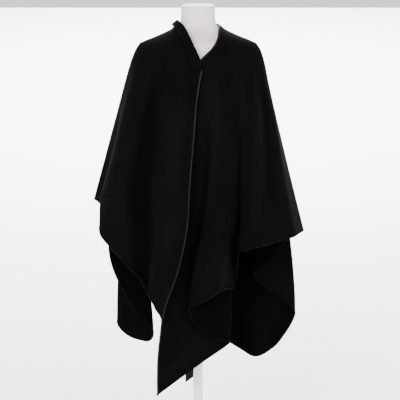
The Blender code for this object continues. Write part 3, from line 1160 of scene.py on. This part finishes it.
@dataclass
class Panel:
    """A panel of cloth as a surface over its folds and its drop.

    Args:
        name: the shell's name.
        node: the solid it stands for.
        folds: its folds.
        creases: soft troughs and ridges.
        form: the dress form that it clears.
        ridge: fold over the arm, height and distance from the middle.
        edge: front edge, or the other arm's fold for the back.
        side: front or behind.
        lift: how far an overlap stands off what lies under it.
        cuts: columns between two folds.
        rows: rows below the shoulder.
    """

    name: str
    node: str
    folds: Sequence[Fold]
    creases: Sequence[Crease]
    form: DressForm
    ridge: Table
    edge: Table
    side: Side = Side.FRONT
    lift: float = 0.0
    cuts: int = 9
    rows: int = 84

    def base(self, share: float, height: float, drop: float) -> Vector:
        """Unfolded cloth.

        Args:
            share: place on the panel.
            height: height.
            drop: drop below the crest.

        Returns:
            The point.
        """
        hand = math.copysign(1.0, self.folds[0].across)
        arm = smooth_value(self.ridge, CREST[-1][1] - drop) * hand
        edge = smooth_value(self.edge, CREST[0][1] - drop)
        across = edge + (arm - edge) * math.cos(share * math.pi / 2)
        bulge = math.sqrt(max(1.0 - (across / arm) ** 2, 0.0))
        depth = -smooth_value(FRONT_DEPTH, drop) * bulge
        if share > 0.0:
            depth -= self.lift * bulge * min(drop / FOLD_START, 1.0)
        return seen_from_front(across, height, depth)

    def top(self, share: float) -> float:
        """Height of the crest.

        Args:
            share: place on the panel.

        Returns:
            The height.
        """
        across = CREST_NECK + (CREST_TIP - CREST_NECK) * math.cos(share * math.pi / 2)
        return crest_height(across) - WALL * 0.5

    def drops(self, length: float) -> list[float]:
        """Drops of the rows of a column.

        Args:
            length: its length.

        Returns:
            The drops.
        """
        fine = []
        for low, high in zip(SHOULDER_DROPS, SHOULDER_DROPS[1:]):
            steps = shoulder_steps(low)
            fine.extend(low + (high - low) * i / steps for i in range(steps))
        start = SHOULDER_DROPS[-1]
        fine.extend(start + (length - start) * i / self.rows for i in range(self.rows + 1))
        return fine

    def column(self, place: float) -> tuple[float, list[float], list[Vector]]:
        """One column of the panel, from the crest down.

        Args:
            place: place counted along the folds.

        Returns:
            The share, the drops and the points.
        """
        read = [through([getattr(fold, key) for fold in self.folds], place)
                for key in ("share", "across", "height", "depth", "late")]
        share, across, height, depth, late = read
        share = min(max(share, 0.0), 1.0)
        top = self.top(share)
        length = top - height
        hem = seen_from_front(across, height, depth) - self.base(share, height, length)
        drops = self.drops(length)
        points = []
        for drop in drops:
            point = self.base(share, top - drop, drop)
            strength = smooth_step((drop - FOLD_START) / (length - FOLD_START))
            point.x += hem.x * strength**late
            point.y += hem.y * strength**DEPTH_LEAD
            point.z += hem.z * strength
            points.append(self.form.clear(point, self.side))
        return share, drops, points

    def grid(self) -> tuple[Grid, list[float], list[list[float]]]:
        """Points of the shell with its creases.

        Returns:
            The rows of points, the shares of the columns and the creases' heights.
        """
        count = (len(self.folds) - 1) * self.cuts
        columns = [self.column(i / self.cuts) for i in range(count + 1)]
        shares = [column[0] for column in columns]
        points = [[column[2][r] for column in columns] for r in range(len(columns[0][2]))]
        normals = surface_normals(points)
        last = len(points) - 1
        rises = []
        for r, line in enumerate(points):
            rises.append([])
            for c, share in enumerate(shares):
                length = columns[c][1][-1]
                part = columns[c][1][r] / length
                rise = sum(self.crease(crease, share, part) for crease in self.creases)
                rises[r].append(rise)
                seam = smooth_step(min(share, 1.0 - share) / 0.05)
                if r < last or rise > 0.0:
                    out = normals[r][c] * math.copysign(1.0, normals[r][c].y * self.side.value)
                    moved = line[c] + out * rise * seam
                    line[c] = self.form.clear(moved, self.side)
        return points, shares, rises

    @staticmethod
    def crease(crease: Crease, share: float, part: float) -> float:
        """Height of one crease at a point.

        Args:
            crease: the crease.
            share: place on the panel.
            part: part of the panel's length.

        Returns:
            The height.
        """
        if not crease.start <= part <= crease.end:
            return 0.0
        run = (part - crease.start) / (crease.end - crease.start)
        middle = crease.top + (crease.low - crease.top) * run
        fade = smooth_step(run / 0.35) * (1.0 if crease.end >= 1.0 else smooth_step((1.0 - run) / 0.35))
        return crease.rise * fade * math.exp(-(((share - middle) / crease.width) ** 2))

    def build(self, look: bpy.types.Material, inside: bpy.types.Material) -> tuple[bpy.types.Object, Grid]:
        """Build the shell.

        Args:
            look: the cloth's face.
            inside: the cloth's inner side, a darker, duller copy of the wool as painted shade.

        Returns:
            The object and its grid of points.
        """
        points, shares, rises = self.grid()
        seam = SEAM_GAP * 0.5 * self.side.value
        for line in points:
            line[0].y = seam
            if self.side is Side.BEHIND:
                line[-1].y = seam
        for c, point in enumerate(points[0]):
            if self.side is Side.FRONT or point.y < NECK_START:
                point.y = seam
        wide = self.wide(points)

        def marks(r: int, c: int) -> tuple[float, float]:
            return shares[c] * wide, points[r][c].z

        bm = placed_grid(points, marks)
        # Crease heights kept per point drive the wool's painted fold shade.
        ridge = bm.verts.layers.float.new("ridge")
        bm.verts.ensure_lookup_table()
        for index, vert in enumerate(bm.verts):
            r, c = divmod(index, len(shares))
            vert[ridge] = max(-1.0, min(1.0, rises[r][c] / FULL_FOLD_SHADE_RISE))
        bmesh.ops.recalc_face_normals(bm, faces=bm.faces[:])
        facing = sum(vert.normal.y for vert in bm.verts if vert.co.z > CHEST_HEIGHT)
        if facing * self.side.value < 0.0:
            bmesh.ops.reverse_faces(bm, faces=bm.faces[:])
        shell = finished(self.name, bm, look)
        shell.data.materials.append(inside)
        skin = shell.modifiers.new("thickness", "SOLIDIFY")
        skin.thickness = SHELL_WALL
        skin.offset = 0.0
        skin.material_offset = 1
        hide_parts(self.node)
        return shell, points

    @staticmethod
    def wide(points: Grid) -> float:
        """Width of the panel along its hem.

        Args:
            points: rows of points.

        Returns:
            The width.
        """
        hem = points[-1]
        return sum((b - a).length for a, b in zip(hem, hem[1:]))


@dataclass
class BackPanel(Panel):
    """The back, from one arm fold to the other behind the neck."""

    side: Side = Side.BEHIND

    def base(self, share: float, height: float, drop: float) -> Vector:
        """Unfolded cloth.

        Args:
            share: place on the panel.
            height: height.
            drop: drop below the crest.

        Returns:
            The point.
        """
        turn = math.cos(share * math.pi)
        across = smooth_value(self.ridge if turn > 0.0 else self.edge, CREST[-1][1] - drop) * turn
        stand_out = smooth_value(BACK_DEPTH, drop)
        neck = max(1.0 - (CREST_TIP * turn / CREST_NECK) ** 2, 0.0)
        depth = stand_out * math.sin(share * math.pi)
        depth += NECK_HALF * NECK_STAND * math.sqrt(neck) * (1.0 - stand_out / BACK_DEPTH[-1][1])
        return seen_from_front(across, height, depth)

    def top(self, share: float) -> float:
        """Height of the crest or of the neck edge.

        Args:
            share: place on the panel.

        Returns:
            The height.
        """
        across = abs(CREST_TIP * math.cos(share * math.pi))
        return crest_height(max(across, CREST_NECK)) - WALL * 0.5


@dataclass
class Binding:
    """Folded binding round a free edge, with its row of stitches.

    Args:
        name: the piece's name.
        node: the solid it stands for.
        width: how far it reaches onto the cloth.
        thick: its thickness.
        pitch: distance between stitches.
    """

    name: str
    node: str
    width: float = 0.0052
    thick: float = 0.0038
    pitch: float = 0.0045
    sides: int = 12

    def frames(self, line: Sequence[Vector], inward: Sequence[Vector]) -> list[Frame]:
        """Edge point, inward direction and normal at each point.

        Args:
            line: the free edge.
            inward: points a little way into the cloth.

        Returns:
            The frames.
        """
        last = len(line) - 1
        made = []
        for i, point in enumerate(line):
            run = (line[min(i + 1, last)] - line[max(i - 1, 0)]).normalized()
            step = inward[i] - point
            normal = run.cross(step).normalized()
            into = normal.cross(run).normalized()
            made.append((point, into, normal))
        return made

    def build(
        self,
        line: Sequence[Vector],
        inward: Sequence[Vector],
        look: bpy.types.Material,
        thread: bpy.types.Material,
    ) -> Pieces:
        """Build the binding and its stitches.

        Args:
            line: the free edge.
            inward: points a little way into the cloth.
            look: the binding.
            thread: the stitches.

        Returns:
            The objects.
        """
        frames = self.frames(line, inward)
        rings = []
        lengths = [0.0]
        for (a, _, _), (b, _, _) in zip(frames, frames[1:]):
            lengths.append(lengths[-1] + (b - a).length)
        for point, into, normal in frames:
            ring = []
            for k in range(self.sides):
                angle = 2 * math.pi * k / self.sides
                reach = math.copysign(abs(math.cos(angle)) ** 0.6, math.cos(angle))
                rise = math.copysign(abs(math.sin(angle)) ** 0.8, math.sin(angle))
                place = point + into * self.width * (0.5 - 0.5 * reach - 0.03)
                ring.append(place + normal * self.thick * 0.5 * rise)
            rings.append(ring)
        bm = stacked(rings)
        cut = bm.loops.layers.uv.new("cut")
        bm.verts.ensure_lookup_table()
        for index, vert in enumerate(bm.verts):
            r, k = divmod(index, self.sides)
            for loop in vert.link_loops:
                loop[cut].uv = (lengths[r], self.thick * k / self.sides)
        strip = finished(self.name, bm, look, 60.0)
        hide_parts(self.node)
        return [strip, self.stitches(frames, lengths, thread)]

    def stitches(
        self,
        frames: Sequence[Frame],
        lengths: Sequence[float],
        look: bpy.types.Material,
    ) -> bpy.types.Object:
        """Row of stitches on the outer face.

        Args:
            frames: frames along the edge.
            lengths: length up to each frame.
            look: the thread.

        Returns:
            The object.
        """
        bm = bmesh.new()
        at = self.pitch
        i = 0
        while at < lengths[-1] - self.pitch:
            while lengths[i + 1] < at:
                i += 1
            t = (at - lengths[i]) / max(lengths[i + 1] - lengths[i], 1e-9)
            point = frames[i][0].lerp(frames[i + 1][0], t)
            into = frames[i][1].lerp(frames[i + 1][1], t).normalized()
            normal = frames[i][2].lerp(frames[i + 1][2], t).normalized()
            run = (frames[i + 1][0] - frames[i][0]).normalized()
            for face in (1.0, -1.0):
                centre = point + into * self.width * 0.72 + normal * self.thick * 0.47 * face
                turn = run.to_track_quat("Z", "Y").to_matrix().to_4x4()
                bmesh.ops.create_cone(
                    bm,
                    cap_ends=True,
                    segments=5,
                    radius1=0.00022,
                    radius2=0.00022,
                    depth=self.pitch * 0.62,
                    matrix=Matrix.Translation(centre) @ turn,
                )
            at += self.pitch
        return finished(f"{self.name}_stitches", bm, look)


@dataclass
class Seam:
    """Felled seam along a shoulder and down the fold over the arm."""

    name: str
    reach: float = 0.0014
    sides: int = 8

    def build(self, points: Grid, look: bpy.types.Material) -> bpy.types.Object:
        """Build the seam along the crest and the arm fold of a front.

        Args:
            points: grid of the front.
            look: the cloth.

        Returns:
            The seam.
        """
        line = list(reversed(points[0])) + [row[0] for row in points[1:]]
        last = len(line) - 1
        rings = []
        for i, point in enumerate(line):
            run = (line[min(i + 1, last)] - line[max(i - 1, 0)]).normalized()
            side = run.cross(Vector((0.0, 1.0, 0.0))).normalized()
            front = side.cross(run).normalized()
            ring = []
            for k in range(self.sides):
                angle = 2 * math.pi * k / self.sides
                place = Vector((point.x, 0.0, point.z))
                ring.append(place + (side * math.cos(angle) + front * math.sin(angle)) * self.reach)
            rings.append(ring)
        bm = stacked(rings)
        cut = bm.loops.layers.uv.new("cut")
        for vert in bm.verts:
            for loop in vert.link_loops:
                loop[cut].uv = (vert.co.x, vert.co.z)
        return finished(self.name, bm, look, 60.0)


@dataclass
class Lapel:
    """Turned-back strip of the right front with its binding."""

    width: float = 0.032
    shape: Table = ((0.0, 0.75), (0.5, 0.9), (0.8, 1.0), (1.0, 0.95))
    stand: Table = ((0.0, 0.012), (0.25, 0.009), (0.5, 0.003), (0.7, 0.0), (1.0, 0.0))
    columns: int = 14
    raised: float = WALL + 0.0006

    def build(self, points: Grid, rows: int, looks: Finishes) -> Pieces:
        """Build the strip and its binding.

        Args:
            points: grid of the panel that it lies on.
            rows: how many of its rows the lapel runs down.
            looks: the materials.

        Returns:
            The objects.
        """
        normals = surface_normals(points)
        strip: Grid = []
        for r in range(rows):
            edge = points[r][-1]
            across = (points[r][-3] - edge).normalized()
            part = r / (rows - 1)
            width = self.width * smooth_value(self.shape, part)
            lift = normals[r][-1] * (self.raised if normals[r][-1].y < 0.0 else -self.raised)
            lift.z += smooth_value(self.stand, part)
            line = []
            for i in range(self.columns):
                share = i / (self.columns - 1)
                roll = math.sin(share * math.pi) * 0.0012
                line.append(edge + across * width * share + lift - Vector((0.0, roll, 0.0)))
            strip.append(line)
        shell = finished(
            "lapel_cloth",
            placed_grid(strip, lambda r, c: (strip[r][c].x, strip[r][c].z)),
            looks.wool,
        )
        skin = shell.modifiers.new("thickness", "SOLIDIFY")
        skin.thickness = SHELL_WALL
        skin.offset = 0.0
        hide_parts("front_right_lapel")
        trim = Binding("lapel_binding", "front_right_lapel_binding", thick=0.0034)
        edge_line = [line[-1] for line in strip]
        inner_line = [line[-2] for line in strip]
        # The lapel binding takes the darker binding copy too, as painted shade.
        pieces = trim.build(edge_line, inner_line, looks.hem_binding, looks.thread)
        return [shell, *pieces]


@dataclass
class Label:
    """Small woven label sewn behind the low corner of the left front."""

    start: float = 0.925
    end: float = 0.9407
    tuck: float = 0.010
    drop: float = 0.030
    thick: float = 0.0008
    steps: int = 12

    def build(self, points: Grid, looks: Finishes) -> bpy.types.Object:
        """Build the label.

        Args:
            points: grid of the left front.
            looks: the materials.

        Returns:
            The label.
        """
        last = len(points[0]) - 1
        tape: Grid = []
        for i in range(self.steps + 1):
            reach = -self.tuck + (self.tuck + self.drop) * i / self.steps
            line = []
            for k in range(self.steps + 1):
                place = (self.start + (self.end - self.start) * k / self.steps) * last
                low = int(place)
                hem = points[-1][low].lerp(points[-1][low + 1], place - low)
                up = points[-4][low].lerp(points[-4][low + 1], place - low)
                run = (hem - up).normalized()
                along = (points[-1][low + 1] - points[-1][low]).normalized()
                inner = along.cross(run).normalized()
                inner *= math.copysign(1.0, inner.y)
                curl = math.sin(math.pi * k / self.steps) * 0.0006
                line.append(hem + run * reach + inner * (0.0028 + curl))
            tape.append(line)
        wide = (tape[0][-1] - tape[0][0]).length
        bm = placed_grid(tape, lambda r, c: (wide * c / self.steps, 0.04 * r / self.steps))
        label = finished("woven_label", bm, looks.label)
        skin = label.modifiers.new("thickness", "SOLIDIFY")
        skin.thickness = self.thick
        skin.offset = 0.0
        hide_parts("label")
        return label


class Cape:
    """The cloth of the poncho with its bindings, lapel and label."""

    def __init__(self, form: DressForm, looks: Finishes) -> None:
        self.form = form
        self.looks = looks
        self.pieces: Pieces = []
        self.sheets: list[tuple[bpy.types.Object, tuple[float, float], Pieces]] = []

    def _bind(self, name: str, node: str, line: Sequence[Vector], inward: Sequence[Vector]) -> Pieces:
        # Hems take the darker binding copy as painted shade.
        look = self.looks.hem_binding if "hem" in name else self.looks.binding
        return Binding(name, node).build(line, inward, look, self.looks.thread)

    def front(self, panel: Panel, flat: tuple[float, float], lapel: bool) -> Grid:
        """Build one front with its bindings.

        Args:
            panel: the panel.
            flat: its cut, width and length; not used.
            lapel: whether it is turned back at the neck.

        Returns:
            Its grid of points.
        """
        shell, points = panel.build(self.looks.wool, self.looks.wool_inside_shaded)
        trims = self._bind(f"{panel.name}_hem_trim", f"{panel.node}_hem_binding", points[-1], points[-3])
        first = self.lapel_rows() - 1 if lapel else 0
        edge = [line[-1] for line in points[first:]]
        inner = [line[-3] for line in points[first:]]
        trims += self._bind(f"{panel.name}_edge_trim", f"{panel.node}_edge_binding", edge, inner)
        trims.append(Seam(f"{panel.name}_seam").build(points, self.looks.wool))
        if lapel:
            trims += Lapel().build(points, self.lapel_rows(), self.looks)
        self.sheets.append((shell, flat, trims))
        return points

    @staticmethod
    def lapel_rows() -> int:
        """Rows that the lapel runs down.

        Returns:
            The count.
        """
        return sum(shoulder_steps(low) for low in SHOULDER_DROPS[:-1]) + 1

    def back(self, panel: BackPanel, flat: tuple[float, float]) -> None:
        """Build the back with its bindings.

        Args:
            panel: the panel.
            flat: its cut, width and length; not used.
        """
        shell, points = panel.build(self.looks.wool, self.looks.wool_inside_shaded)
        trims = self._bind("back_hem_trim", "back_hem_binding", points[-1], points[-3])
        neck = [c for c, point in enumerate(points[0]) if point.y > NECK_START]
        trims += Binding("back_neck_trim", "back_neck_binding", width=0.006, thick=0.0034).build(
            [points[0][c] for c in neck], [points[2][c] for c in neck], self.looks.binding, self.looks.thread
        )
        self.sheets.append((shell, flat, trims))

    def build(self) -> None:
        """Build the whole cape and log the area of each sheet."""
        right = Panel(
            "cape_front_right",
            "front_right",
            FOLDS_RIGHT,
            CREASES_RIGHT,
            self.form,
            RIDGE_RIGHT,
            EDGE_RIGHT,
            lift=OVERLAP_LIFT,
            cuts=15,
        )
        left = Panel(
            "cape_front_left",
            "front_left",
            FOLDS_LEFT,
            CREASES_LEFT,
            self.form,
            RIDGE_LEFT,
            EDGE_LEFT,
        )
        back = BackPanel(
            "cape_back",
            "back",
            FOLDS_BACK,
            CREASES_BACK,
            self.form,
            RIDGE_LEFT,
            RIDGE_RIGHT,
            cuts=7,
        )
        self.front(right, CUT_RIGHT, True)
        left_points = self.front(left, CUT_LEFT, False)
        self.back(back, CUT_BACK)
        label = Label().build(left_points, self.looks)
        self.sheets[1][2].append(label)
        for shell, flat, trims in self.sheets:
            area = sheet_area(shell)
            self.pieces += [shell, *trims]
            LOG.info("%s: %.3f square metres", shell.name, area)
            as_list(trims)


def sheet_area(shell: bpy.types.Object) -> float:
    """Area of one side of a shell.

    Args:
        shell: the shell.

    Returns:
        The area in square metres.
    """
    return sum(face.area for face in shell.data.polygons)


class Studio:
    """Floor, light and camera."""

    def __init__(self, looks: Finishes) -> None:
        self.looks = looks

    def _area(self, name: str, place: Vector, aim: Vector, size: float, power: float) -> None:
        light = bpy.data.lights.new(name, "AREA")
        light.shape = "SQUARE"
        light.size = size
        light.energy = power
        lamp = bpy.data.objects.new(name, light)
        lamp.location = place
        lamp.rotation_euler = (aim - place).to_track_quat("-Z", "Y").to_euler()
        bpy.context.scene.collection.objects.link(lamp)

    def build(self) -> None:
        """Set up the studio."""
        bm = bmesh.new()
        bmesh.ops.create_grid(bm, x_segments=1, y_segments=1, size=14.0)
        floor = finished("studio_floor", bm, self.looks.floor)
        floor.location.z = -0.0005
        middle = Vector((0.0, 0.0, 1.0))
        self._area("key", Vector((-1.5, -4.1, 3.2)), middle, 1.4, 260.0)
        self._area("fill", Vector((2.4, -3.9, 2.2)), middle, 2.2, 130.0)
        self._area("top", Vector((0.2, -1.2, 4.2)), middle, 2.0, 80.0)
        self._area("wash_near", Vector((0.0, 5.0, 4.5)), Vector((0.0, 5.4, 0.0)), 5.0, 1500.0)
        self._area("wash_far", Vector((0.0, 11.0, 6.0)), Vector((0.0, 11.5, 0.0)), 8.0, 4200.0)
        world = bpy.data.worlds.new("studio_air")
        world.use_nodes = True
        tree = world.node_tree
        air = tree.nodes["Background"]
        air.inputs["Color"].default_value = (1.0, 1.0, 1.0, 1.0)
        place = tree.nodes.new("ShaderNodeTexCoord")
        parts = tree.nodes.new("ShaderNodeSeparateXYZ")
        ease = tree.nodes.new("ShaderNodeMapRange")
        ease.inputs["From Min"].default_value = -0.1
        ease.inputs["From Max"].default_value = 0.6
        ease.inputs["To Min"].default_value = 0.6
        ease.inputs["To Max"].default_value = 1.3
        tree.links.new(place.outputs["Generated"], parts.inputs[0])
        tree.links.new(parts.outputs["Y"], ease.inputs["Value"])
        tree.links.new(ease.outputs["Result"], air.inputs["Strength"])
        bpy.context.scene.world = world
        view = bpy.data.cameras.new("photo_view")
        view.sensor_width = 36.0
        view.lens = 130.29
        view.shift_x = 0.005
        camera = bpy.data.objects.new("photo_view", view)
        camera.location = (0.0, -EYE_DISTANCE, EYE_HEIGHT)
        camera.rotation_euler = (math.radians(90.0) - math.atan2(1.1, EYE_DISTANCE), 0.0, 0.0)
        bpy.context.scene.collection.objects.link(camera)
        bpy.context.scene.camera = camera


def main() -> None:
    """Build the looks in order and report the pieces."""
    logging.basicConfig(level=logging.INFO, format="%(name)s %(message)s")
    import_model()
    looks = Finishes()
    form = DressForm()
    pieces = form.build(looks.shell)
    LOG.info("form: %d pieces", len(pieces))
    stand = Stand().build(looks.metal)
    pieces += stand
    LOG.info("stand: %d pieces", len(stand))
    cape = Cape(form, looks)
    cape.build()
    pieces += cape.pieces
    LOG.info("cape: %d pieces", len(cape.pieces))
    for piece in pieces:
        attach(piece, "root")
    Studio(looks).build()


if __name__ == "__main__":
    main()
